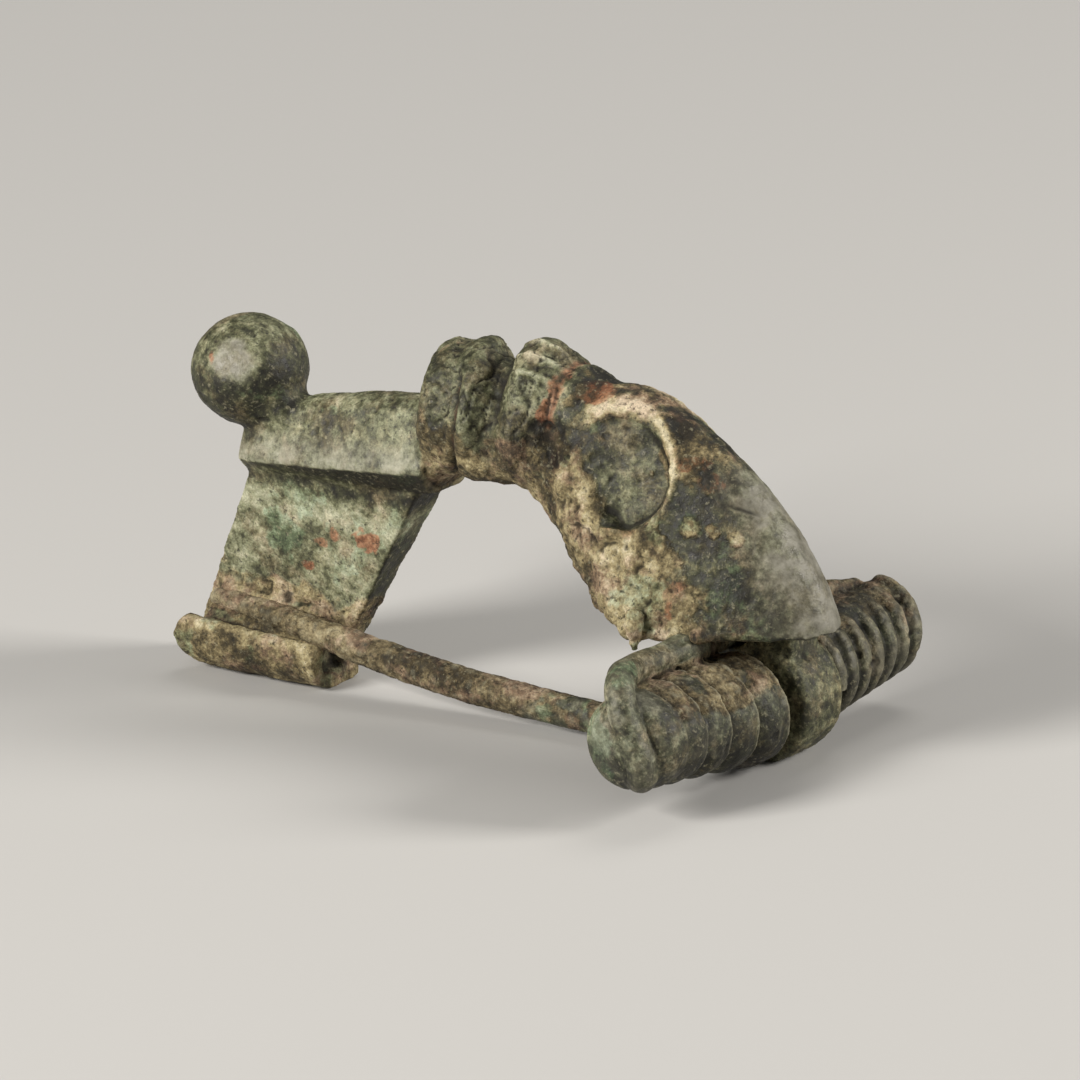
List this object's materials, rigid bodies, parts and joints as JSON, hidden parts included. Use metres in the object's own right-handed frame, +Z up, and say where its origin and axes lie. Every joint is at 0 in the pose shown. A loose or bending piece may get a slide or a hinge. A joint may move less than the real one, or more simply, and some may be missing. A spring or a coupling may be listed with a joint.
{
  "type": "roman fibula brooch",
  "caption": "Ancient cast bronze bow brooch with ball foot, high catchplate, ringed collar, wide head, coiled side spring and pin.",
  "frame": {"origin": "centre of the bounding box, at the height of the underside it stands on", "axes": "+X along the brooch from the foot knob to the head, +Z up, -Y is the side the catch opens on"},
  "size_m": [0.0476, 0.0292, 0.0244],
  "materials": {
    "cast_bronze": "satin grey-green patina with brown crust and small orange-red patches",
    "bronze_wire": "granular beige-brown crust over grey-green patina"
  },
  "bodies": {
    "root": {"bow": "cast_bronze", "spring_and_pin": "bronze_wire"}
  },
  "joints": []
}
